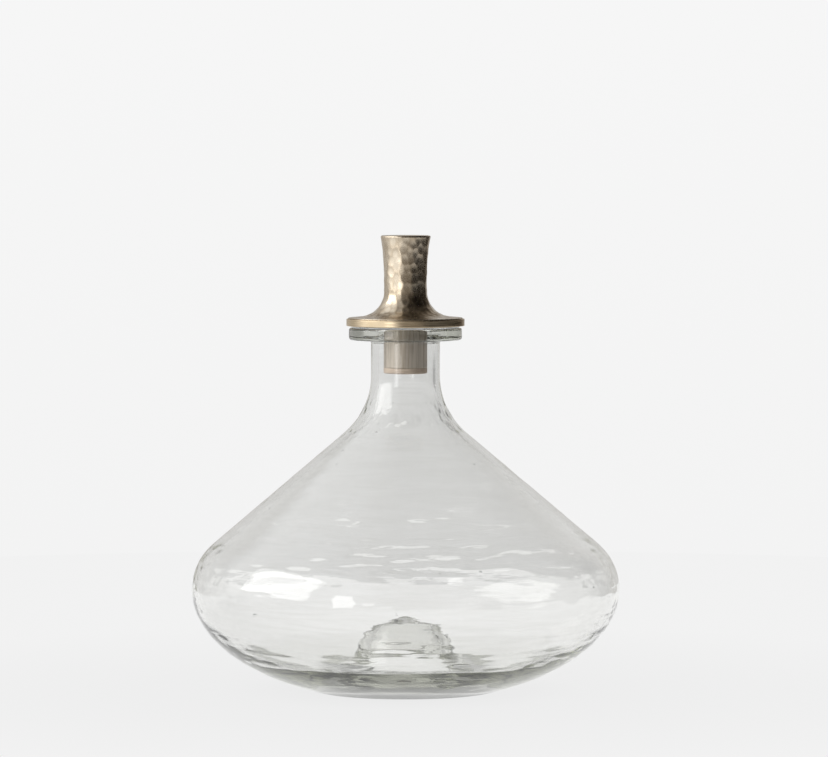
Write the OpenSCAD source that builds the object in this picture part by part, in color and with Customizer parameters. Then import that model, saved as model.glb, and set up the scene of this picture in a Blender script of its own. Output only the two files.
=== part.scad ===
// Free-blown glass decanter with a hammered brass drop-in stopper.
// Millimetres, +Z up. The origin is the centre of the ring that the bottle stands on.

/* [Bottle outside] */
// Largest radius, at the belly
belly_r = 100; // [97:0.5:103]
// Height of the belly's widest circle
belly_z = 47; // [45:0.5:49]
// Half height of the ellipse that shapes the bowl under the belly
bowl_half_h = 52; // [51:0.5:55]
// Radius of the arc that turns the belly into the shoulder
shoulder_arc_r = 27.5; // [25:0.5:30]
// Outside radius of the neck
neck_r = 16.1; // [15.3:0.1:16.9]
// Radius of the hollow arc that turns the shoulder into the neck
throat_arc_r = 35.5; // [33:0.5:38]
// Height at which the throat's arc becomes the straight neck
throat_z = 147.5; // [146:0.5:149]
// Outside radius of the lip
lip_r = 26.4; // [25:0.2:27]
// Height of the lip's flat top
lip_z = 169.3; // [168.5:0.1:170]
// Height of the lip's edge
lip_h = 5.6; // [5:0.1:6.5]

/* [Bottle glass] */
// Wall at the belly
belly_wall = 2.5; // [2:0.1:3]
// Wall at the neck
neck_wall = 3.1; // [2.7:0.1:3.5]
// Height at which the ellipse of the bowl's inside would meet the axis
floor_z = -0.5; // [-1:0.25:1]
// Extra thickness of the base
heel_h = 3; // [2:0.25:4]
// Height of the bowl's inside up to which the base has that extra thickness
heel_z = 7.5; // [6:0.5:9]
// Further height over which the extra thickness fades into the wall
heel_fade_h = 10; // [9:0.5:12]
// Radius of the punt's dome on the inside of the bottle
punt_dome_r = 23; // [21:0.5:25]
// Height of the punt's dome on the inside of the bottle
punt_top_z = 34; // [32:0.5:36]
// Radius of the hollow arc between the punt and the floor
punt_flare_r = 12; // [10:0.5:14]
// Radius of the dome that is pushed up into the base from below
kick_dome_r = 18; // [16:0.5:19]
// Height of that dome
kick_top_z = 29; // [27:0.5:30]
// Radius of the arc that leads from the kick to the base
kick_flare_r = 9; // [7:0.5:10]
// Inside radius of the flat ring that the bottle stands on
ring_in_r = 34; // [32:0.5:36]
// Rise of the base between the ring and the kick
base_rise = 1; // [0.6:0.1:1.4]

/* [Stopper] */
// Thickness of the clear gasket between the lip and the rim plate
gasket_h = 0.9; // [0.6:0.1:1.4]
// Outside radius of the gasket
gasket_r = 25.2; // [22:0.2:25.4]
// Radius of the rim plate
rim_r = 27.6; // [27:0.1:28.5]
// Thickness of the rim plate
rim_h = 3.3; // [2.8:0.1:3.8]
// Radius of the plug
plug_r = 10.2; // [9.5:0.1:11]
// Depth of the plug below the rim plate
plug_depth = 22.1; // [18:0.1:24]
// Height of the cap on the plug's end
plug_cap_h = 2.6; // [2:0.1:3.2]
// Wall of the plug's sleeve
sleeve_wall = 1.5; // [1.2:0.1:2]
// Radial clearance between the gasket and the plug, which turns in it
turn_gap = 0.05; // [0.03:0.01:0.08]

/* [Knob] */
// Height of the knob above the rim plate
knob_h = 38.9; // [36:0.1:42]
// Radius at the waist
waist_r = 10; // [9.6:0.1:10.4]
// Radius at the top
knob_top_r = 11.6; // [11.1:0.1:12.2]
// Radius of the hollow arc from the waist to the skirt
skirt_arc_r = 12; // [11:0.25:13]
// Radius of the skirt's edge
skirt_r = 26.8; // [26:0.1:27]
// Height of the skirt's edge above the rim plate
skirt_edge_h = 0.5; // [0.4:0.05:0.65]
// Thickness of the knob's sheet brass
sheet = 1.2; // [1:0.05:1.4]

/* [Fastening] */
// Radius of the screw's shank
screw_r = 2.5; // [2:0.25:3]
// Radius of the screw's countersunk head
screw_head_r = 4.6; // [4.2:0.1:5]
// Width of the nut across its flats
nut_flats = 8; // [7:0.5:9]
// Thickness of the nut
nut_h = 4; // [3:0.25:5]
// Thickness of the washer
washer_h = 1; // [0.8:0.1:1.2]

/* [Hidden] */

round_fn = 144;       // segments round every turned piece
corner_steps = 3;     // segments in a small rounded corner
curve_steps = 6;      // segments in a large curve
lip_top_corner_r = 0.9;    // rounding of the lip's top outer edge
lip_low_corner_r = 1.2;    // rounding of the lip's lower outer edge
mouth_corner_r = 1.4;      // rounding of the mouth's inner edge
lip_fillet_r = 1.6;       // hollow corner between the lip and the neck
rim_corner_r = 0.3;       // rounding of the rim plate's edges
knob_corner_r = 0.6;      // rounding of the knob's top edge
plug_corner_r = 0.7;      // rounding of the plug's lower edge
floor_margin = 2;         // width of plain floor kept round the punt's flare
skirt_drop = 0.4;         // fall of the skirt from the end of its arc to its edge
skirt_arc_end = 262;      // angle at which the skirt's arc ends
waist_h = 17.5;           // height of the waist's upper end above the rim plate
knob_cap_h = 1.2;         // thickness of the disc that closes the knob
knob_cap_wall = 0.7;      // wall left round that disc
spigot_h = 1.6;           // height of the spigots that locate the sleeve
spigot_gap = 0.05;        // radial gap of those spigots in the sleeve
screw_hole_gap = 0.2;     // radial gap round the screw's shank
head_recess = 0.4;        // depth of the screw's head inside the plug's end
screw_tip = 1.6;          // length of screw above the nut
screw_chamfer = 0.5;      // chamfer of the screw's tip
slot_w = 1.1;             // width of the screwdriver slot
slot_depth = 1.2;         // depth of the screwdriver slot
cut = 1;                  // how far a cutting solid runs past the face it cuts

rim_z = lip_z + gasket_h;
rim_top_z = rim_z + rim_h;
knob_top_z = rim_top_z + knob_h;
waist_z = rim_top_z + waist_h;
plug_end_z = rim_z - plug_depth;
sleeve_z = plug_end_z + plug_cap_h;
sleeve_h = rim_z - sleeve_z;
sleeve_in_r = plug_r - sleeve_wall;
spigot_r = sleeve_in_r - spigot_gap;
screw_hole_r = screw_r + screw_hole_gap;
head_z = plug_end_z + head_recess;
nut_z = rim_top_z + washer_h;
screw_top_z = nut_z + nut_h + screw_tip;
inside_r = belly_r - belly_wall;
knob_cap_r = knob_top_r - knob_cap_wall;
knob_cap_z = knob_top_z - knob_cap_h;

// Points of an arc about c, from angle a0 to angle a1, with both ends.
function arc(c, r, a0, a1, n = curve_steps) =
    [for (i = [0:n]) let (a = a0 + (a1 - a0) * i / n) c + r * [cos(a), sin(a)]];

// The same without its first point.
function arc_on(c, r, a0, a1, n = curve_steps) =
    [for (i = [1:n]) let (a = a0 + (a1 - a0) * i / n) c + r * [cos(a), sin(a)]];

// Points of an ellipse about c with half axes rx and rz.
function oval(c, rx, rz, a0, a1, n = curve_steps) =
    [for (i = [0:n]) let (a = a0 + (a1 - a0) * i / n) c + [rx * cos(a), rz * sin(a)]];

function reversed(points) = [for (i = [len(points) - 1:-1:0]) points[i]];

// Angle at which a straight line leaves a bulge about c1 to run into a hollow about c2.
function tangent_angle(c1, r1, c2, r2) =
    let (d = c2 - c1) atan2(d[1], d[0]) - acos((r1 + r2) / norm(d));

// Radius at which a hollow arc stands beside a dome on the axis so that the two touch.
function beside_dome(dome_r, dome_z, flare_r, flare_z) =
    sqrt(pow(dome_r + flare_r, 2) - pow(flare_z - dome_z, 2));

// Height z of the bowl's inside with the base's extra thickness added.
function thickened(z) =
    let (t = min(1, max(0, (z - heel_z) / heel_fade_h)))
    z + heel_h * (1 - t * t * (3 - 2 * t));

// Height of the bowl's inside at radius r.
function bowl_in_z(r) =
    thickened(belly_z - (belly_z - floor_z) * sqrt(1 - pow(r / inside_r, 2)));

// From the bowl's edge up to the neck, set into the glass by belly_in and neck_in.
function wall_line(rx, rz, start, belly_in, neck_in) =
    let (bulge_c = [belly_r - shoulder_arc_r, belly_z],
         bulge_r = shoulder_arc_r - belly_in,
         hollow_c = [neck_r + throat_arc_r, throat_z],
         hollow_r = throat_arc_r + neck_in,
         a = tangent_angle(bulge_c, bulge_r, hollow_c, hollow_r))
    concat(oval([0, belly_z], rx, rz, start, 0, 2 * curve_steps),
           arc_on(bulge_c, bulge_r, 0, a),
           arc(hollow_c, hollow_r, 180 + a, 180));

// A dome on the axis of radius dome_r up to top_z, which a flare leads down to bottom_z.
function dome_line(dome_r, top_z, flare_r, bottom_z) =
    let (dome_z = top_z - dome_r,
         flare_z = bottom_z + flare_r,
         flare_x = beside_dome(dome_r, dome_z, flare_r, flare_z),
         a = atan2(flare_z - dome_z, flare_x))
    concat(arc([0, dome_z], dome_r, 90, a),
           arc_on([flare_x, flare_z], flare_r, 180 + a, 270));

// The lip, from the neck's outside round to the bore.
function lip_line() =
    let (low_z = lip_z - lip_h)
    concat(arc([neck_r + lip_fillet_r, low_z - lip_fillet_r], lip_fillet_r, 180, 90, corner_steps),
           arc([lip_r - lip_low_corner_r, low_z + lip_low_corner_r], lip_low_corner_r, -90, 0,
               corner_steps),
           arc([lip_r - lip_top_corner_r, lip_z - lip_top_corner_r], lip_top_corner_r, 0, 90,
               corner_steps),
           arc([neck_r - neck_wall + mouth_corner_r, lip_z - mouth_corner_r], mouth_corner_r,
               90, 180, corner_steps));

// The knob's sheet above the waist, set in by inset and ending at height end_z.
function knob_upper(inset, end_z) =
    let (r = pow(knob_top_z - waist_z, 2) / (2 * (knob_top_r - waist_r)))
    arc([waist_r + r, waist_z], r + inset, 180, 180 - asin((end_z - waist_z) / (r + inset)));

// The knob's sheet below the waist, set in by inset, from angle a to the waist.
function knob_lower(inset, a) =
    arc([waist_r + skirt_arc_r, rim_top_z + skirt_edge_h + skirt_drop + skirt_arc_r],
        skirt_arc_r + inset, a, 180);

module turned(points) {
    rotate_extrude($fn = round_fn) polygon(points);
}

module disc(r, h) {
    cylinder(h = h, r = r, $fn = round_fn);
}

module bottle() {
    start_out = -asin(belly_z / bowl_half_h);
    start_in = -acos((punt_dome_r + punt_flare_r + floor_margin) / inside_r);
    punt_flare_z = bowl_in_z(punt_dome_r + punt_flare_r);
    inside = [for (p = wall_line(inside_r, belly_z - floor_z, start_in, belly_wall, neck_wall))
              [p[0], thickened(p[1])]];
    color([0.86, 0.9, 0.88, 0.35])
        turned(concat(dome_line(kick_dome_r, kick_top_z, kick_flare_r, base_rise),
                      [[ring_in_r, 0]],
                      wall_line(belly_r, bowl_half_h, start_out, 0, 0),
                      lip_line(),
                      reversed(inside),
                      reversed(dome_line(punt_dome_r, punt_top_z, punt_flare_r, punt_flare_z))));
}

module lip_gasket() {
    color([0.9, 0.9, 0.88, 0.5])
        translate([0, 0, lip_z])
            difference() {
                disc(gasket_r, gasket_h);
                translate([0, 0, -cut])
                    disc(plug_r + turn_gap, gasket_h + 2 * cut);
            }
}

module rim_plate() {
    edge_x = rim_r - rim_corner_r;
    spigot_end_z = rim_z - spigot_h;
    color([0.66, 0.56, 0.4])
        turned(concat([[screw_hole_r, rim_top_z], [screw_hole_r, spigot_end_z],
                       [spigot_r, spigot_end_z], [spigot_r, rim_z]],
                      arc([edge_x, rim_z + rim_corner_r], rim_corner_r, -90, 0, corner_steps),
                      arc([edge_x, rim_top_z - rim_corner_r], rim_corner_r, 0, 90, corner_steps)));
}

module knob_shell() {
    outer_end_z = knob_top_z - knob_corner_r;
    upper = knob_upper(0, outer_end_z);
    edge_x = upper[len(upper) - 1][0] - knob_corner_r;
    inner_rise = min(0.999, (skirt_edge_h + skirt_drop + skirt_arc_r) / (skirt_arc_r + sheet));
    inner_lower = knob_lower(sheet, 180 + asin(inner_rise));
    color([0.62, 0.52, 0.37])
        turned(concat([[inner_lower[0][0], rim_top_z], [skirt_r, rim_top_z],
                       [skirt_r, rim_top_z + skirt_edge_h]],
                      knob_lower(0, skirt_arc_end),
                      upper,
                      arc([edge_x, outer_end_z], knob_corner_r, 0, 90, corner_steps),
                      [[knob_cap_r, knob_top_z], [knob_cap_r, knob_cap_z]],
                      reversed(knob_upper(sheet, knob_cap_z)),
                      reversed(inner_lower)));
}

module knob_cap() {
    color([0.66, 0.56, 0.4])
        translate([0, 0, knob_cap_z])
            disc(knob_cap_r, knob_cap_h);
}

module plug_sleeve() {
    color([0.58, 0.5, 0.4])
        translate([0, 0, sleeve_z])
            difference() {
                disc(plug_r, sleeve_h);
                translate([0, 0, -cut])
                    disc(sleeve_in_r, sleeve_h + 2 * cut);
            }
}

module plug_end_cap() {
    spigot_end_z = sleeve_z + spigot_h;
    sink_top_z = head_z + screw_head_r - screw_hole_r;
    color([0.72, 0.55, 0.45])
        turned(concat([[screw_head_r, plug_end_z]],
                      arc([plug_r - plug_corner_r, plug_end_z + plug_corner_r], plug_corner_r,
                          -90, 0, corner_steps),
                      [[plug_r, sleeve_z], [spigot_r, sleeve_z],
                       [spigot_r, spigot_end_z], [screw_hole_r, spigot_end_z],
                       [screw_hole_r, sink_top_z], [screw_head_r, head_z]]));
}

module tie_screw() {
    color([0.75, 0.75, 0.76])
        difference() {
            turned([[0, head_z], [screw_head_r, head_z],
                    [screw_r, head_z + screw_head_r - screw_r],
                    [screw_r, screw_top_z - screw_chamfer],
                    [screw_r - screw_chamfer, screw_top_z], [0, screw_top_z]]);
            translate([-slot_w / 2, -screw_head_r - cut, head_z - cut])
                cube([slot_w, 2 * (screw_head_r + cut), slot_depth + cut]);
        }
}

module nut_washer() {
    color([0.75, 0.75, 0.76])
        translate([0, 0, rim_top_z])
            difference() {
                disc(2 * screw_r, washer_h);
                translate([0, 0, -cut])
                    disc(screw_hole_r, washer_h + 2 * cut);
            }
}

module knob_nut() {
    color([0.7, 0.62, 0.42])
        translate([0, 0, nut_z])
            difference() {
                cylinder(h = nut_h, r = nut_flats / sqrt(3), $fn = 6);
                translate([0, 0, -cut])
                    disc(screw_r, nut_h + 2 * cut);
            }
}

bottle();
lip_gasket();
rim_plate();
knob_shell();
knob_cap();
plug_sleeve();
plug_end_cap();
tie_screw();
nut_washer();
knob_nut();
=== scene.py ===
import math
import bmesh
import bpy
import numpy as np
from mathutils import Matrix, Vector, kdtree


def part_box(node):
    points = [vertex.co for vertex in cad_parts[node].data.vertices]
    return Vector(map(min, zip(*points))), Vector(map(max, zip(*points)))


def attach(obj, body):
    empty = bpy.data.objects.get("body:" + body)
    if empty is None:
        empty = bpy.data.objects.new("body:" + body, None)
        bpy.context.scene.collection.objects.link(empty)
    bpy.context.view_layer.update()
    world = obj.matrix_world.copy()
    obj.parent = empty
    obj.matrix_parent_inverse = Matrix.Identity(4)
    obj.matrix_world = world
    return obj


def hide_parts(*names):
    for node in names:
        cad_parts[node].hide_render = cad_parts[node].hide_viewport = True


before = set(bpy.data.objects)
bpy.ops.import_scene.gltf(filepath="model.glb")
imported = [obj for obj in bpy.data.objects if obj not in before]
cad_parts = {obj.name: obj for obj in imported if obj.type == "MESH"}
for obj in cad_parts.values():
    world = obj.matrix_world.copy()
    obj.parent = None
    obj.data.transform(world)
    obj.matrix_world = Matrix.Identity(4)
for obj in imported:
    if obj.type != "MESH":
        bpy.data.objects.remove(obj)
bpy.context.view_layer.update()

MM = 0.001
COARSE = 1

# ---------------------------------------------------------------- where things are, in millimetres
bottle_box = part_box("bottle")
gasket_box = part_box("lip_gasket")
rim_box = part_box("rim_plate")
knob_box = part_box("knob_shell")
disc_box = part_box("knob_cap")
sleeve_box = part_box("plug_sleeve")
foot_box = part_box("plug_end_cap")

BELLY_R = bottle_box[1].x / MM
LIP_Z = bottle_box[1].z / MM
RIM_R = rim_box[1].x / MM
RIM_BOTTOM = gasket_box[1].z / MM
RIM_TOP = rim_box[1].z / MM
KNOB_TOP = knob_box[1].z / MM
SKIRT_R = knob_box[1].x / MM
PLUG_R = sleeve_box[1].x / MM
PLUG_BOTTOM = foot_box[0].z / MM
PLUG_JOINT = sleeve_box[0].z / MM

# the bottle's own measures, as in the frame
BELLY_Z = 47
BOWL_HALF_H = 52
SHOULDER_R = 27.5
NECK_R = 16.1
THROAT_R = 35.5
THROAT_Z = 147.5
LIP_R = 26.4
LIP_H = 5.6
BELLY_WALL = 2.5
NECK_WALL = 3.1
FLOOR_Z = -0.5        # where the ellipse of the bowl's inside would meet the axis
HEEL_H = 3.0          # extra thickness of the base
HEEL_Z = 7.5          # up to this height of the inner face, and fading out above it
HEEL_FADE_H = 10
PUNT_DOME_R = 23      # the punt inside the bowl
PUNT_TOP_Z = 34
PUNT_FLARE_R = 12
KICK_DOME_R = 18      # the hollow below it
KICK_TOP_Z = 29
KICK_FLARE_R = 9
BASE_RISE = 1.0
RING_IN_R = 34        # inner edge of the ring that the bottle stands on

# the stopper's own measures, as in the frame
SLEEVE_WALL = 1.5
SEAT_R = 8.65         # the boss and the foot's shoulder that centre the sleeve
HOLE_R = 2.7
SCREW_HEAD_R = 4.6
WAIST_R = 10.0
WAIST_Z = RIM_TOP + 17.5
KNOB_TOP_R = 11.6
SKIRT_ARC_R = 12.0
SKIRT_ARC_END = 262   # degrees
SKIRT_DROP = 0.4      # fall of the skirt from the end of its arc to its edge
SKIRT_EDGE_H = 0.5
HEAD_RECESS = 0.4     # how deep the screw's head lies in the plug's end
SHEET = 1.2           # thickness of the knob's brass


# ---------------------------------------------------------------- small tools
def step(a, b, x):
    """0 up to a, 1 from b on, and smooth between."""
    t = np.clip((x - a) / (b - a), 0, 1)
    return t * t * (3 - 2 * t)


def hashed(cell, seed):
    """A scrambled whole number for each cell (n, 3)."""
    h = cell[:, 0] * 374761393 + cell[:, 1] * 668265263 + cell[:, 2] * 362437 + seed * 974634777
    h = h & 0xFFFFFFFF
    h = ((h ^ (h >> 13)) * 1274126177) & 0xFFFFFFFF
    return ((h ^ (h >> 15)) * 2246822519) & 0xFFFFFFFF


def noise3(p, seed):
    """Gradient noise, roughly -1 to 1, at points p (n, 3) in cells of side 1."""
    p = np.asarray(p, float) + 37.17
    cell = np.floor(p).astype(np.int64)
    f = p - cell
    u = f * f * f * (f * (f * 6 - 15) + 10)
    total = np.zeros(len(p))
    for corner in range(8):
        o = np.array([corner & 1, corner >> 1 & 1, corner >> 2 & 1])
        h = hashed(cell + o, seed)
        turn = (h & 0xFFFF) / 65536 * 2 * math.pi
        up = ((h >> 16) & 0xFFFF) / 32768 - 1
        flat = np.sqrt(np.maximum(0, 1 - up * up))
        g = np.stack([flat * np.cos(turn), flat * np.sin(turn), up], 1)
        total += np.prod(np.where(o, u, 1 - u), axis=1) * np.sum(g * (f - o), axis=1)
    return total * 1.5


def waves(p, height, across, along, seed):
    """Ripples of this height whose features are across wide and along tall. All in millimetres."""
    return height * noise3(p / np.array((across, across, along)), seed)


def oval(centre, rx, rz, start, end, n):
    """Points (r, z) on an ellipse from one angle to another, in n steps."""
    a = np.radians(np.linspace(start, end, n + 1))
    return np.stack([centre[0] + rx * np.cos(a), centre[1] + rz * np.sin(a)], 1)


def arc(centre, r, start, end, n):
    return oval(centre, r, r, start, end, n)


def rounded(*corners, pieces=4):
    """An outline of (r, z, fillet) corners with each corner rounded."""
    out = []
    for i, (r, z, fillet) in enumerate(corners):
        tip = np.array([r, z], float)
        if fillet <= 0:
            out.append(tip)
            continue
        back = np.array(corners[i - 1][:2], float) - tip
        ahead = np.array(corners[(i + 1) % len(corners)][:2], float) - tip
        back, ahead = back / np.linalg.norm(back), ahead / np.linalg.norm(ahead)
        half = math.acos(np.clip(np.dot(back, ahead), -1, 1)) / 2
        start, end = tip + back * fillet / math.tan(half), tip + ahead * fillet / math.tan(half)
        bend = tip * 0.8 + (start + end) * 0.1
        for s in np.linspace(0, 1, pieces + 1):
            out.append((1 - s) ** 2 * start + 2 * s * (1 - s) * bend + s * s * end)
    return np.array(out)


def respace(line, gap, loop=False):
    """The same line with points about gap apart. gap is a number or a function of r and z."""
    line = np.asarray(line, float)
    if loop:
        line = np.concatenate([line, line[:1]])
    line = line[np.r_[True, np.linalg.norm(np.diff(line, axis=0), axis=1) > 1e-5]]
    at = np.r_[0, np.cumsum(np.linalg.norm(np.diff(line, axis=0), axis=1))]
    stops = [0.0]
    while stops[-1] < at[-1]:
        r, z = (np.interp(stops[-1], at, line[:, k]) for k in (0, 1))
        stops.append(min(stops[-1] + (gap(r, z) if callable(gap) else gap), at[-1]))
    if len(stops) > 2 and stops[-1] - stops[-2] < 0.3 * (stops[-2] - stops[-3]):
        del stops[-2]
    out = np.stack([np.interp(stops, at, line[:, k]) for k in (0, 1)], 1)
    return out[:-1] if loop else out


def ring_faces(index, closed, poles):
    """The faces between the rings of a turned mesh. A ring that is a pole closes to one point."""
    faces = []
    rings = len(index)
    for i in range(rings if closed else rings - 1):
        j = (i + 1) % rings
        lower, upper = index[i], index[j]
        lower2, upper2 = np.roll(lower, -1), np.roll(upper, -1)
        if i in poles:
            faces += [(lower[0], b, a) for a, b in zip(upper, upper2)]
        elif j in poles:
            faces += [(a, b, upper[0]) for a, b in zip(lower, lower2)]
        else:
            faces += list(zip(lower, lower2, upper2, upper))
    return [tuple(int(k) for k in face) for face in faces]


def tidy_mesh(mesh):
    """Drop loose points, and turn every face outwards."""
    bm = bmesh.new()
    bm.from_mesh(mesh)
    bmesh.ops.delete(bm, geom=[v for v in bm.verts if not v.link_faces], context="VERTS")
    bmesh.ops.recalc_face_normals(bm, faces=bm.faces)
    if bm.calc_volume(signed=True) < 0:
        bmesh.ops.reverse_faces(bm, faces=bm.faces)
    bm.to_mesh(mesh)
    bm.free()
    mesh.shade_smooth()


def revolve(name, line, segments, move=None, closed=False):
    """A turned piece from a line of (r, z) in millimetres.

    move(points, normals, ring) returns how far each point shifts along its normal, and a value to keep
    with each point for the material, or None. The normals point out of the material.
    """
    line = np.asarray(line, float)
    m = len(line)
    tangent = np.roll(line, -1, 0) - np.roll(line, 1, 0) if closed else np.gradient(line, axis=0)
    tangent /= np.linalg.norm(tangent, axis=1)[:, None]
    ring = np.repeat(np.arange(m), segments)
    turn = np.tile(np.arange(segments) * 2 * math.pi / segments, m)
    r, z = line[ring].T
    pts = np.stack([r * np.cos(turn), r * np.sin(turn), z], 1)
    out_r, out_z = tangent[ring, 1], -tangent[ring, 0]
    normals = np.stack([out_r * np.cos(turn), out_r * np.sin(turn), out_z], 1)
    value = None
    if move:
        shift, value = move(pts, normals, ring)
        pts = pts + normals * shift[:, None]
    index = np.arange(m * segments).reshape(m, segments)
    poles = {i for i in (0, m - 1) if not closed and line[i, 0] < 1e-4}
    for i in poles:
        pts[index[i]] = pts[index[i]].mean(axis=0)
    mesh = bpy.data.meshes.new(name)
    mesh.from_pydata((pts * MM).tolist(), [], ring_faces(index, closed, poles))
    mesh.update()
    if value is not None:
        mesh.attributes.new("relief", "FLOAT", "POINT").data.foreach_set("value", value.astype(np.float32))
    tidy_mesh(mesh)
    obj = bpy.data.objects.new(name, mesh)
    bpy.context.scene.collection.objects.link(obj)
    return obj


# ---------------------------------------------------------------- materials
class Nodes:
    """Short ways to build a node tree."""

    def __init__(self, tree):
        self.tree = tree
        tree.nodes.clear()

    def add(self, kind, **props):
        node = self.tree.nodes.new(kind)
        for key, value in props.items():
            setattr(node, key, value)
        return node

    def feed(self, socket, value):
        """Set a socket to a number or a colour, or link it to another node's output."""
        if isinstance(value, (int, float)):
            socket.default_value = value
        elif isinstance(value, tuple):
            socket.default_value = (*value, 1)
        else:
            self.tree.links.new(value, socket)

    def span(self, source, lo, hi, from_lo=0.0, from_hi=1.0, smooth=False):
        node = self.add("ShaderNodeMapRange", interpolation_type="SMOOTHSTEP" if smooth else "LINEAR")
        for key, value in zip(("From Min", "From Max", "To Min", "To Max"), (from_lo, from_hi, lo, hi)):
            node.inputs[key].default_value = value
        self.feed(node.inputs["Value"], source)
        return node.outputs["Result"]

    def math(self, operation, a, b):
        node = self.add("ShaderNodeMath", operation=operation)
        self.feed(node.inputs[0], a)
        self.feed(node.inputs[1], b)
        return node.outputs[0]

    def mix(self, fac, a, b):
        node = self.add("ShaderNodeMix", data_type="RGBA")
        for socket, value in ((node.inputs[0], fac), (node.inputs[6], a), (node.inputs[7], b)):
            self.feed(socket, value)
        return node.outputs[2]

    def mix_numbers(self, fac, a, b):
        node = self.add("ShaderNodeMix")
        for socket, value in ((node.inputs[0], fac), (node.inputs[2], a), (node.inputs[3], b)):
            self.feed(socket, value)
        return node.outputs[0]

    def ray(self, kind):
        return self.add("ShaderNodeLightPath").outputs[kind]


class Mat(Nodes):
    """A material with a Principled surface."""

    def __init__(self, name, **values):
        self.mat = bpy.data.materials.new(name)
        self.mat.use_nodes = True
        super().__init__(self.mat.node_tree)
        self.out = self.add("ShaderNodeOutputMaterial")
        self.bsdf = self.add("ShaderNodeBsdfPrincipled")
        self.feed(self.out.inputs["Surface"], self.bsdf.outputs[0])
        for key, value in values.items():
            self.put(key.replace("_", " "), value)

    def put(self, socket, value):
        self.feed(self.bsdf.inputs[socket], value)

    def noise(self, across, along=None, detail=3.0, rough=0.55):
        """Noise with features across wide and along tall, in millimetres."""
        place = self.add("ShaderNodeTexCoord")
        scale = self.add("ShaderNodeMapping")
        side, up = 1 / (across * MM), 1 / ((along or across) * MM)
        scale.inputs["Scale"].default_value = (side, side, up)
        self.feed(scale.inputs["Vector"], place.outputs["Object"])
        node = self.add("ShaderNodeTexNoise")
        for key, value in (("Scale", 1.0), ("Detail", detail), ("Roughness", rough)):
            node.inputs[key].default_value = value
        self.feed(node.inputs["Vector"], scale.outputs["Vector"])
        return node.outputs["Fac"]

    def ramp(self, source, *stops):
        node = self.add("ShaderNodeValToRGB")
        marks = node.color_ramp.elements
        while len(marks) < len(stops):
            marks.new(0.5)
        for mark, (at, colour) in zip(marks, stops):
            mark.position = at
            mark.color = (*colour, 1)
        self.feed(node.inputs["Fac"], source)
        return node.outputs["Color"]

    def bump(self, height, strength, depth):
        """Relief up to depth millimetres deep."""
        node = self.add("ShaderNodeBump")
        node.inputs["Strength"].default_value = strength
        node.inputs["Distance"].default_value = depth * MM
        self.feed(node.inputs["Height"], height)
        self.put("Normal", node.outputs["Normal"])

    def relief(self):
        return self.add("ShaderNodeAttribute", attribute_name="relief").outputs["Fac"]


def clear_glass():
    m = Mat("hand_blown_glass", Roughness=0.0, IOR=1.5, Transmission_Weight=1.0)
    streaks = m.noise(28, 1.5, 3.0, 0.6)
    m.put("Base Color", m.ramp(streaks, (0.35, (0.965, 0.965, 0.96)), (0.65, (1.0, 1.0, 1.0))))
    # relief is 1 on the outer face and -1 on the inner one, so both faces ripple together
    m.bump(m.math("MULTIPLY", m.noise(30, 2.2, 2.0), m.relief()), 1.0, 0.03)
    # the windows' light goes straight through, so the glass casts almost no shadow
    lamp = m.add("ShaderNodeBsdfTransparent")
    lamp.inputs["Color"].default_value = (0.93, 0.94, 0.935, 1)
    mixed = m.add("ShaderNodeMixShader")
    m.feed(mixed.inputs[0], m.ray("Is Shadow Ray"))
    m.feed(mixed.inputs[1], m.bsdf.outputs[0])
    m.feed(mixed.inputs[2], lamp.outputs[0])
    m.feed(m.out.inputs["Surface"], mixed.outputs[0])
    body = m.add("ShaderNodeVolumeAbsorption")
    body.inputs["Color"].default_value = (0.67, 0.68, 0.61, 1)
    body.inputs["Density"].default_value = 34.0
    m.feed(m.out.inputs["Volume"], body.outputs[0])
    return m.mat


def hammered_brass():
    m = Mat("hammered_antique_brass", Metallic=1.0)
    tones = (0.32, (0.52, 0.44, 0.33)), (0.52, (0.62, 0.54, 0.43)), (0.72, (0.70, 0.62, 0.50))
    base = m.ramp(m.noise(11, 11, 4.0, 0.6), *tones)
    ridge = m.relief()
    m.put("Base Color", m.mix(m.span(ridge, 0.0, 0.35, 0.35, 1.0), base, (0.34, 0.26, 0.17)))
    grain = m.noise(1.1, 1.1, 3.0, 0.6)
    worn = m.math("ADD", m.math("MULTIPLY", grain, 0.5), m.math("MULTIPLY", ridge, 0.5))
    m.put("Roughness", m.span(worn, 0.20, 0.36))
    m.bump(grain, 0.25, 0.05)
    return m.mat


def turned_brass():
    m = Mat("turned_antique_brass", Metallic=1.0)
    rings = m.noise(17, 0.4, 2.0, 0.6)
    base = m.ramp(m.noise(14), (0.3, (0.53, 0.43, 0.29)), (0.7, (0.66, 0.55, 0.40)))
    m.put("Base Color", m.mix(m.span(rings, 0.0, 0.35, 0.4, 0.75), base, (0.42, 0.33, 0.21)))
    m.put("Roughness", m.span(rings, 0.24, 0.40, 0.3, 0.7))
    m.bump(rings, 0.3, 0.04)
    return m.mat


def brushed_brass():
    m = Mat("brushed_pale_brass", Metallic=1.0)
    brush = m.noise(1.1, 30, 3.0, 0.65)
    base = m.ramp(m.noise(3.8, 80, 2.0), (0.3, (0.45, 0.39, 0.33)), (0.7, (0.61, 0.55, 0.48)))
    m.put("Base Color", m.mix(m.span(brush, 0.0, 0.6, 0.42, 0.7), base, (0.30, 0.25, 0.20)))
    m.put("Roughness", m.span(brush, 0.50, 0.66, 0.3, 0.7))
    m.bump(brush, 0.45, 0.08)
    return m.mat


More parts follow.
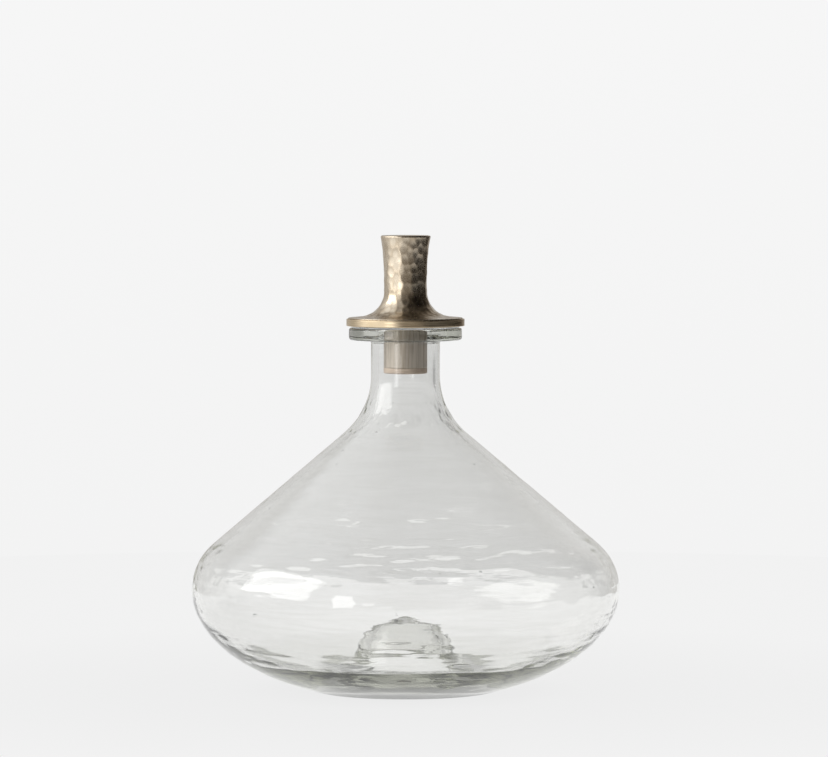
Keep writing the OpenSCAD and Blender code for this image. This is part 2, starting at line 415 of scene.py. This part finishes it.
def coppery_brass():
    m = Mat("coppery_brass", Metallic=1.0)
    m.put("Base Color", m.ramp(m.noise(6, 6, 4.0), (0.3, (0.54, 0.44, 0.36)), (0.7, (0.66, 0.56, 0.47))))
    rings = m.noise(12, 0.45, 2.0, 0.6)
    m.put("Roughness", m.span(rings, 0.64, 0.76, 0.3, 0.7))
    m.bump(rings, 0.3, 0.04)
    return m.mat


def silicone():
    m = Mat("milky_silicone", IOR=1.41, Transmission_Weight=0.1)
    cloud = m.noise(4.5)
    m.put("Base Color", m.ramp(cloud, (0.3, (0.92, 0.92, 0.90)), (0.7, (0.98, 0.98, 0.97))))
    m.put("Roughness", m.span(cloud, 0.3, 0.5, 0.3, 0.7))
    m.bump(m.noise(1.4, 1.4, 2.0), 0.2, 0.05)
    return m.mat


def plated_steel():
    m = Mat("plated_steel", Metallic=1.0)
    grain = m.noise(2, 2, 4.0, 0.6)
    m.put("Base Color", m.ramp(grain, (0.3, (0.52, 0.52, 0.53)), (0.7, (0.72, 0.72, 0.73))))
    m.put("Roughness", m.span(grain, 0.25, 0.42, 0.3, 0.7))
    m.bump(grain, 0.25, 0.05)
    return m.mat


def dress(obj, mat, body, node):
    """Give a piece its material and the body that it rides on, and hide the node that it stands for."""
    obj.data.materials.clear()
    obj.data.materials.append(mat)
    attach(obj, body)
    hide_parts(node)


# ---------------------------------------------------------------- bottle
def bowl_and_neck(belly_in, neck_in, half_h, start_r):
    """One face of the wall, from radius start_r at the bottom up to the straight neck.

    belly_in and neck_in say how far the face lies inside the outer one.
    """
    low = np.array([BELLY_R - SHOULDER_R, BELLY_Z])
    high = np.array([NECK_R + THROAT_R, THROAT_Z])
    low_r, high_r = SHOULDER_R - belly_in, THROAT_R + neck_in
    between = high - low
    lean = math.atan2(between[1], between[0]) - math.acos((low_r + high_r) / np.linalg.norm(between))
    lean = math.degrees(lean)
    wide = BELLY_R - belly_in
    start = -math.degrees(math.acos(start_r / wide))
    return np.concatenate([oval((0, BELLY_Z), wide, half_h, start, 0, 90), arc(low, low_r, 0, lean, 50),
                           arc(high, high_r, 180 + lean, 180, 50)])


def dome(r, top, flare, bottom):
    """A round hump of radius r with a flared foot, from height top down to height bottom."""
    centre_z, flare_z = top - r, bottom + flare
    flare_x = math.sqrt((r + flare) ** 2 - (flare_z - centre_z) ** 2)
    meet = math.degrees(math.atan2(flare_z - centre_z, flare_x))
    hump = arc((0, centre_z), r, 90, meet, 60)
    return np.concatenate([hump, arc((flare_x, flare_z), flare, 180 + meet, 270, 30)])


def lip_line():
    """The lip, from the neck's outside over the top to the bore."""
    low, bore = LIP_Z - LIP_H, NECK_R - NECK_WALL
    root, under, top, mouth = 1.6, 1.2, 0.9, 1.4
    return np.concatenate([arc((NECK_R + root, low - root), root, 180, 90, 10),
                           arc((LIP_R - under, low + under), under, -90, 0, 10),
                           arc((LIP_R - top, LIP_Z - top), top, 0, 90, 10),
                           arc((bore + mouth, LIP_Z - mouth), mouth, 90, 180, 10)])


def bottle_gap(r, z):
    fine = z > LIP_Z - 8.5 or r < 8
    return (0.38 if fine else 0.8) * COARSE


def thick_heel(line):
    """The inner face stands higher where the wall runs into the thick base."""
    z = line[:, 1] + HEEL_H * (1 - step(HEEL_Z, HEEL_Z + HEEL_FADE_H, line[:, 1]))
    return np.stack([line[:, 0], z], 1)


foot_r = BELLY_R * math.sqrt(1 - (BELLY_Z / BOWL_HALF_H) ** 2)
punt_foot_r = PUNT_DOME_R + PUNT_FLARE_R
inner_half_h = BELLY_Z - FLOOR_Z
punt_foot_z = HEEL_H + BELLY_Z - inner_half_h * math.sqrt(1 - (punt_foot_r / (BELLY_R - BELLY_WALL)) ** 2)
outer_wall = bowl_and_neck(0, 0, BOWL_HALF_H, foot_r)
inner_wall = thick_heel(bowl_and_neck(BELLY_WALL, NECK_WALL, inner_half_h, punt_foot_r + 2))
standing_ring = [[RING_IN_R, 0.05], [RING_IN_R + 2, 0]]
kick = dome(KICK_DOME_R, KICK_TOP_Z, KICK_FLARE_R, BASE_RISE)
punt = dome(PUNT_DOME_R, PUNT_TOP_Z, PUNT_FLARE_R, punt_foot_z)
outside = respace(np.concatenate([kick, standing_ring, outer_wall, lip_line()]), bottle_gap)
inside = respace(np.concatenate([inner_wall[::-1], punt[::-1]]), bottle_gap)
outer_rings = len(outside)


def shared_waves(p, z):
    """Waves of the whole sheet of glass, which both of its faces follow."""
    bowl = 1 - step(100, 125, z)
    belt = np.exp(-((z - 50) / 11) ** 2)
    throat = np.exp(-((z - 131) / 9) ** 2)
    broad = waves(p, 0.30, 85, 80, 1) + waves(p, 0.10, 42, 9, 2)
    level = waves(p, 0.08, 24, 3.8, 3) + waves(p, 0.05, 9, 6, 4) + waves(p, 0.05, 15, 2.6, 16)
    return broad + bowl * level + belt * waves(p, 0.15, 8, 3.2, 17) + throat * waves(p, 0.22, 2.6, 15, 15)


def outer_waves(p, r, z):
    """What the outer face does by itself."""
    return waves(p, 0.09, 60, 50, 5) + waves(p, 0.014, 34, 2.6, 6)


def inner_waves(p, r, z):
    """What the inner face does by itself: more over the widest part, and close ripples low in the bowl."""
    band = np.exp(-((z - 66) / 9) ** 2) * step(60, 80, r)
    low = 1 - step(10, 26, z)
    out = waves(p, 0.14, 60, 50, 7) + waves(p, 0.055, 48, 7, 8) + waves(p, 0.02, 34, 2.8, 9)
    return out + band * waves(p, 0.07, 12, 2.4, 10) + low * waves(p, 0.03, 30, 4, 11)


def glass_waves(pts, normals, ring):
    """Free-blown glass: the whole wall is wavy, and its thickness varies a little as well."""
    r, z = np.hypot(pts[:, 0], pts[:, 1]), pts[:, 2]
    inner = ring >= outer_rings
    outer = ~inner
    sheet = pts - normals * np.where(inner, BELLY_WALL, 0)[:, None]
    face = np.where(inner, -1.0, 1.0)
    d = face * shared_waves(sheet, z)
    d[outer] += outer_waves(pts[outer], r[outer], z[outer])
    d[inner] += inner_waves(pts[inner], r[inner], z[inner])
    lip = step(LIP_Z - 7.5, LIP_Z - 5.2, z)
    d *= (1 - 0.6 * step(118, 150, z)) * (1 - 0.75 * lip)
    d += lip * (waves(pts, 0.08, 9, 5, 12) + waves(pts, 0.05, 3, 2, 13))
    # the foot stands flat, and the scar of the pontil rod under the kick is rough
    d *= 1 - outer * (1 - step(0.6, 3, z)) * step(30, 33, r)
    scar = outer * (1 - step(5, 8, r))
    d += scar * (waves(pts, 0.35, 2.6, 2.6, 14) - 0.5 * np.exp(-((r - 5.6) / 0.9) ** 2))
    # the punt's inside draws up to a small point
    tip = inner & (z < 40) & (r < 22)
    d -= tip * 2.7 * (1 - np.exp(-(r / 2.4) ** 1.4)) * (1 - step(9, 21, r))
    # nothing reaches below the standing ring
    down = np.minimum(normals[:, 2], -0.05)
    d = np.where(outer & (pts[:, 2] + normals[:, 2] * d < 0), pts[:, 2] / -down, d)
    return d, face


def add_seeds(obj, count):
    """Seed bubbles: tiny flat voids in the wall, with their faces turned inwards."""
    rng = np.random.default_rng(12)
    bm = bmesh.new()
    bm.from_mesh(obj.data)
    for _ in range(count):
        z, turn, size = rng.uniform(12, 150), rng.uniform(0, 2 * math.pi), rng.uniform(0.22, 0.5)
        middle = sum(np.interp(z, wall[:, 1], wall[:, 0]) for wall in (outer_wall, inner_wall)) / 2
        outward = Vector((math.cos(turn), math.sin(turn), 0))
        side = Vector((-outward.y, outward.x, 0))
        made = bmesh.ops.create_icosphere(bm, subdivisions=2, radius=1.0)
        for v in made["verts"]:
            x, y, up = v.co
            deep, wide = middle + y * size * 0.7, x * size * 1.7
            spot = outward * deep + side * wide + Vector((0, 0, z + up * size))
            v.co = spot * MM
        faces = list({f for v in made["verts"] for f in v.link_faces})
        for f in faces:
            f.smooth = True
        bmesh.ops.reverse_faces(bm, faces=faces)
    bm.to_mesh(obj.data)
    bm.free()


decanter = revolve("blown_decanter", np.concatenate([outside, inside]), 288 // COARSE, glass_waves)
add_seeds(decanter, 26)
dress(decanter, clear_glass(), "bottle", "bottle")


# ---------------------------------------------------------------- gasket
def moulded(pts, normals, ring):
    return -np.abs(waves(pts, 0.03, 6, 3, 21)), None


gasket_in, gasket_r = PLUG_R + 0.05, gasket_box[1].x / MM
gasket_lo, gasket_hi = gasket_box[0].z / MM, gasket_box[1].z / MM
line = rounded((gasket_in, gasket_lo, 0.15), (gasket_r, gasket_lo, 0.2), (gasket_r, gasket_hi, 0.2),
               (gasket_in, gasket_hi, 0.15))
gasket = revolve("lip_washer", respace(line, 0.6, loop=True), 160, moulded, closed=True)
dress(gasket, silicone(), "gasket", "lip_gasket")


# ---------------------------------------------------------------- rim plate
def worn_edge(pts, normals, ring):
    edge = step(RIM_R - 1.5, RIM_R - 0.4, np.hypot(pts[:, 0], pts[:, 1]))
    wear = waves(pts, 0.03, 7, 2, 31) + waves(pts, 0.01, 2.2, 0.5, 32) - 0.02
    return np.minimum(edge * wear, 0), None


boss_z = rim_box[0].z / MM
line = rounded((HOLE_R, RIM_TOP, 0), (HOLE_R, boss_z, 0), (SEAT_R, boss_z, 0.2), (SEAT_R, RIM_BOTTOM, 0),
               (RIM_R, RIM_BOTTOM, 0.25), (RIM_R, RIM_TOP, 0.22))
line = respace(line, lambda r, z: 0.16 if r > RIM_R - 1 else 0.9, loop=True)
plate = revolve("turned_rim", line, 256, worn_edge, closed=True)
dress(plate, turned_brass(), "stopper", "rim_plate")


# ---------------------------------------------------------------- knob
def knob_outline():
    """The knob's sheet: its outer face from the skirt up over the top edge, and its inner face back down."""
    corner, ease, disc_r = 0.6, 0.05, disc_box[1].x / MM
    underside_w = 7.6     # the skirt's underside lies on the plate this far in from its edge
    curve_r = (KNOB_TOP - WAIST_Z) ** 2 / (2 * (KNOB_TOP_R - WAIST_R))
    side = (WAIST_R + curve_r, WAIST_Z)
    foot = (WAIST_R + SKIRT_ARC_R, RIM_TOP + SKIRT_EDGE_H + SKIRT_DROP + SKIRT_ARC_R)
    end = 180 - math.degrees(math.asin((KNOB_TOP - corner - WAIST_Z) / curve_r))
    upper = arc(side, curve_r, 180, end, 40)
    skirt = [[SKIRT_R - underside_w, RIM_TOP], [SKIRT_R - 0.25, RIM_TOP], [SKIRT_R, RIM_TOP + 0.22],
             [SKIRT_R - 0.15, RIM_TOP + SKIRT_EDGE_H]]
    seat = [[disc_r + ease, KNOB_TOP], [disc_r, KNOB_TOP - ease], [disc_r, disc_box[0].z / MM]]
    top = arc((upper[-1][0] - corner, KNOB_TOP - corner), corner, 0, 90, 10)
    face = np.concatenate([skirt, arc(foot, SKIRT_ARC_R, SKIRT_ARC_END, 180, 60), upper, top, seat])
    inner_r = SKIRT_ARC_R + SHEET
    low_end = 180 + math.degrees(math.asin((foot[1] - RIM_TOP) / inner_r))
    back = np.concatenate([arc(foot, inner_r, low_end, 180, 30), arc(side, curve_r + SHEET, 180, end, 30)])
    return face, back[::-1]


class Blows:
    """Hammer blows in uneven rows up the knob. Each leaves a shallow mark, taller than it is wide."""

    TALL = 0.7          # heights count this much in the distance from a blow
    DEPTH = 0.045
    FACE_R = 15.0       # how round the hammer's face is
    SOFT = 0.016        # how soft the ridges between the marks are

    def __init__(self, line, across, along, seed):
        rng = np.random.default_rng(seed)
        length = np.r_[0, np.cumsum(np.linalg.norm(np.diff(line, axis=0), axis=1))]
        spots = []
        for row, s in enumerate(np.arange(0, length[-1], along)):
            n = max(8, round(2 * math.pi * np.interp(s, length, line[:, 0]) / across))
            for i in range(n):
                turn = (i + 0.5 * (row % 2) + rng.uniform(-0.3, 0.3)) * 2 * math.pi / n
                r, z = (np.interp(s + rng.uniform(-0.4, 0.4) * along, length, line[:, k]) for k in (0, 1))
                spots.append((r * math.cos(turn), r * math.sin(turn), z * self.TALL))
        self.depths = rng.uniform(0.5, 1.4, len(spots)) * self.DEPTH
        self.tree = kdtree.KDTree(len(spots))
        for i, spot in enumerate(spots):
            self.tree.insert(spot, i)
        self.tree.balance()

    def depth_at(self, p):
        found = self.tree.find_n((p[0], p[1], p[2] * self.TALL), 5)
        marks = np.array([self.depths[k] - d * d / (2 * self.FACE_R) for _, k, d in found])
        return marks.max() + self.SOFT * math.log(np.exp((marks - marks.max()) / self.SOFT).sum())


knob_face, knob_back = knob_outline()
knob_face = respace(knob_face, 0.32 * COARSE)
face_rings = len(knob_face)
rise = knob_face[:np.argmax(knob_face[:, 1])]
blows = Blows(rise[rise[:, 1] > RIM_TOP + 0.5], 3.0, 4.2, 5)


def hammer(pts, normals, ring):
    """The blows, softer on the skirt, and none on the top edge. The kept value is 1 on the ridges."""
    r, z = np.hypot(pts[:, 0], pts[:, 1]), pts[:, 2]
    on = (ring < face_rings) * step(RIM_TOP + 0.4, RIM_TOP + 1.0, z)
    on = on * (1 - 0.75 * step(15, 24, r)) * (1 - step(KNOB_TOP - 0.5, KNOB_TOP - 0.1, z))
    depth = np.zeros(len(pts))
    live = on > 0.01
    depth[live] = [blows.depth_at(p) for p in pts[live]]
    ridge = np.clip(0.5 - depth / (2 * blows.DEPTH), 0, 1) * live
    return on * (waves(pts, 0.05, 6, 9, 41) - depth - 0.02), ridge


knob_line = np.concatenate([knob_face, respace(knob_back, 1.5)])
knob = revolve("hammered_knob", knob_line, 288 // COARSE, hammer, closed=True)
dress(knob, hammered_brass(), "stopper", "knob_shell")


# ---------------------------------------------------------------- disc that closes the knob
def hand_worn(pts, normals, ring):
    return -np.abs(waves(pts, 0.03, 5, 5, 51)), None


disc_r, disc_lo, disc_hi = disc_box[1].x / MM - 0.03, disc_box[0].z / MM, disc_box[1].z / MM
line = rounded((0, disc_lo, 0), (disc_r, disc_lo, 0.1), (disc_r, disc_hi, 0.35), (0, disc_hi, 0))
disc = revolve("knob_disc", respace(line, 0.3), 192, hand_worn)
dress(disc, turned_brass(), "stopper", "knob_cap")


# ---------------------------------------------------------------- plug
def brushed(pts, normals, ring):
    return -np.abs(waves(pts, 0.03, 1.1, 30, 61)), None


sleeve_top = sleeve_box[1].z / MM
sleeve_in, sleeve_r = PLUG_R - SLEEVE_WALL, PLUG_R - 0.02
line = rounded((sleeve_in, PLUG_JOINT, 0.1), (sleeve_r, PLUG_JOINT, 0.06), (sleeve_r, sleeve_top, 0.05),
               (sleeve_in, sleeve_top, 0.05))
sleeve = revolve("brushed_plug", respace(line, 0.5, loop=True), 256, brushed, closed=True)
dress(sleeve, brushed_brass(), "stopper", "plug_sleeve")

seat_top = foot_box[1].z / MM
head_z = PLUG_BOTTOM + HEAD_RECESS
cone_top = head_z + SCREW_HEAD_R - HOLE_R
line = rounded((SCREW_HEAD_R, PLUG_BOTTOM, 0.15), (PLUG_R, PLUG_BOTTOM, 0.7), (PLUG_R, PLUG_JOINT, 0.06),
               (SEAT_R, PLUG_JOINT, 0), (SEAT_R, seat_top, 0.2), (HOLE_R, seat_top, 0),
               (HOLE_R, cone_top, 0), (SCREW_HEAD_R, head_z, 0))
plug_foot = revolve("plug_foot", respace(line, 0.35, loop=True), 224, closed=True)
dress(plug_foot, coppery_brass(), "stopper", "plug_end_cap")

# ---------------------------------------------------------------- screw, washer and nut of the frame
steel = plated_steel()
for name in ("tie_screw", "nut_washer", "knob_nut"):
    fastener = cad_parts[name]
    fastener.data.materials.clear()
    fastener.data.materials.append(steel)


# ---------------------------------------------------------------- stage, light and camera
def table_top():
    """A pale round table, just below the bottle's foot, whose edge fades into the surround."""
    mesh = bpy.data.meshes.new("table_top")
    bm = bmesh.new()
    bmesh.ops.create_circle(bm, cap_ends=True, segments=256, radius=0.75)
    bm.to_mesh(mesh)
    bm.free()
    obj = bpy.data.objects.new("table_top", mesh)
    obj.location.z = -0.3 * MM
    bpy.context.scene.collection.objects.link(obj)
    mesh.materials.append(table_material())


def table_material():
    """The camera sees a pale table with a faint painted contact shadow round the bottle's foot. All other
    rays see a painted shadow on it: a dark ring below the bottle's base.
    """
    m = Mat("pale_table_with_painted_shadow")
    far = m.add("ShaderNodeVectorMath", operation="LENGTH")
    m.feed(far.inputs[0], m.add("ShaderNodeTexCoord").outputs["Object"])
    reach = far.outputs["Value"]
    # painted contact shadow: the table the camera sees is a little darker close round the bottle's foot
    painted_contact_shadow = m.span(reach, 0.965, 1.0, 0.03, 0.08)
    seen = m.math("MULTIPLY", m.span(reach, 0.845, 0.885, 0.05, 0.30), painted_contact_shadow)
    # painted shadow for light and reflections: the table is dark in a ring under the bottle's foot and
    # lighter inside and beyond it
    inner = m.span(reach, 0.92, 0.20, 0.026, 0.034, smooth=True)
    shade = m.math("MAXIMUM", inner, m.span(reach, 0.20, 0.95, 0.038, 0.047, smooth=True))
    glow = m.add("ShaderNodeEmission")
    m.feed(glow.inputs["Strength"], m.mix_numbers(m.ray("Is Camera Ray"), shade, seen))
    glow.inputs["Color"].default_value = (1, 1, 1, 1)
    m.feed(m.out.inputs["Surface"], glow.outputs[0])
    m.mat.cycles.emission_sampling = "NONE"
    return m.mat


def room_through_glass(n, x, y, z):
    """An even room, darker in front, overhead and to the right."""
    rear = n.span(y, 0.0, 1.0, -0.65, 0.55, smooth=True)
    even = n.mix_numbers(rear, 0.42, n.span(z, 0.74, 0.55, 0.2, 0.5, smooth=True))
    right = n.span(x, 0.0, 0.95, 0.3, 0.75, smooth=True)
    high = n.math("MULTIPLY", right, n.span(z, 0.0, 1.0, 0.12, 0.32, smooth=True))
    level = n.span(n.math("ABSOLUTE", z, 0.0), 0.40, 0.0, 0.05, 0.12, smooth=True)
    level = n.math("MULTIPLY", level, n.span(x, 0.0, 1.0, 0.5, 0.7, smooth=True))
    return n.math("MULTIPLY", even, n.math("SUBTRACT", 1.0, n.math("MAXIMUM", high, level)))


def room_in_metal(n, x, y, z):
    """A dark front, right side and ceiling, and a bright wall on the left."""
    rear = n.span(y, 0.0, 1.0, -0.65, 0.55, smooth=True)
    front = n.span(z, 0.22, 0.10, 0.05, 0.4, smooth=True)
    left_side = n.span(x, 1.0, 0.05, 0.3, 0.75, smooth=True)
    walls = n.math("MULTIPLY", n.mix_numbers(rear, front, 0.60), left_side)
    walls = n.math("MULTIPLY", walls, n.span(z, 1.0, 0.14, 0.3, 0.8, smooth=True))
    lean_x = n.math("SUBTRACT", x, n.math("MULTIPLY", z, 0.2))
    lean_y = n.math("SUBTRACT", y, n.math("MULTIPLY", z, 0.8))
    lit = n.span(lean_x, 1.05, 0.0, -0.68, -0.20, smooth=True)
    lit = n.math("MULTIPLY", lit, n.span(lean_y, 1.0, 0.0, 0.0, 0.35, smooth=True))
    return n.math("ADD", walls, lit)


def surround():
    """The camera sees a seamless pale wall, matt pieces an even white, and glass and metal a grey room."""
    world = bpy.data.worlds.new("studio")
    bpy.context.scene.world = world
    world.use_nodes = True
    n = Nodes(world.node_tree)
    split = n.add("ShaderNodeSeparateXYZ")
    n.feed(split.inputs[0], n.add("ShaderNodeTexCoord").outputs["Generated"])
    x, y, z = split.outputs
    seen = n.span(z, 0.885, 0.925, -0.14, 0.04)
    mirrored = room_in_metal(n, x, y, z)
    room = n.mix_numbers(n.ray("Is Transmission Ray"), mirrored, room_through_glass(n, x, y, z))
    room = n.mix_numbers(n.ray("Is Diffuse Ray"), room, 1.3)
    # reflections are warm where the room is dark
    warm = n.math("MULTIPLY", n.ray("Is Glossy Ray"), n.span(mirrored, 1.0, 0.0, 0.05, 0.7))
    warm = n.mix_numbers(n.ray("Is Transmission Ray"), warm, 0.0)
    back = n.add("ShaderNodeBackground")
    n.feed(back.inputs["Color"], n.mix(warm, (1.0, 1.0, 1.0), (1.0, 0.84, 0.66)))
    n.feed(back.inputs["Strength"], n.mix_numbers(n.ray("Is Camera Ray"), room, seen))
    n.feed(n.add("ShaderNodeOutputWorld").inputs["Surface"], back.outputs[0])


def window(name, azimuth, elevation, distance, width, height, radiance):
    """A soft rectangular light that faces the bottle. Azimuth turns from the camera's side towards -X."""
    data = bpy.data.lights.new(name, "AREA")
    data.shape = "RECTANGLE"
    data.size, data.size_y = width, height
    data.energy = radiance * math.pi * width * height
    obj = bpy.data.objects.new(name, data)
    a, e = math.radians(azimuth), math.radians(elevation)
    away = Vector((-math.sin(a) * math.cos(e), -math.cos(a) * math.cos(e), math.sin(e)))
    obj.location = Vector((0, 0, 0.08)) + away * distance
    obj.rotation_euler = away.to_track_quat("Z", "Y").to_euler()
    obj.visible_camera = False
    bpy.context.scene.collection.objects.link(obj)


def camera(distance, height, look_down, look_right, lens):
    data = bpy.data.cameras.new("camera")
    data.sensor_width = 36
    data.lens = lens
    data.clip_start, data.clip_end = 0.05, 60
    obj = bpy.data.objects.new("camera", data)
    obj.location = (0, -distance, height)
    obj.rotation_euler = (math.radians(90 - look_down), 0, -math.radians(look_right))
    bpy.context.scene.collection.objects.link(obj)
    bpy.context.scene.camera = obj


table_top()
surround()
window("window_left", azimuth=75, elevation=25, distance=1.6, width=1.35, height=0.95, radiance=2.5)
window("window_front_left", azimuth=31, elevation=4, distance=0.75, width=0.15, height=0.36, radiance=2.4)
window("window_front", azimuth=19, elevation=2, distance=0.75, width=0.08, height=0.12, radiance=1.2)
camera(distance=2.192, height=0.256, look_down=2.884, look_right=0.104, lens=204.3)

scene = bpy.context.scene
scene.view_settings.view_transform = "Standard"
scene.view_settings.look = "None"
scene.cycles.max_bounces = 96
scene.cycles.transmission_bounces = 96
scene.cycles.glossy_bounces = 96
scene.cycles.transparent_max_bounces = 32
scene.cycles.caustics_refractive = False
scene.cycles.caustics_reflective = False
scene.cycles.use_denoising = True
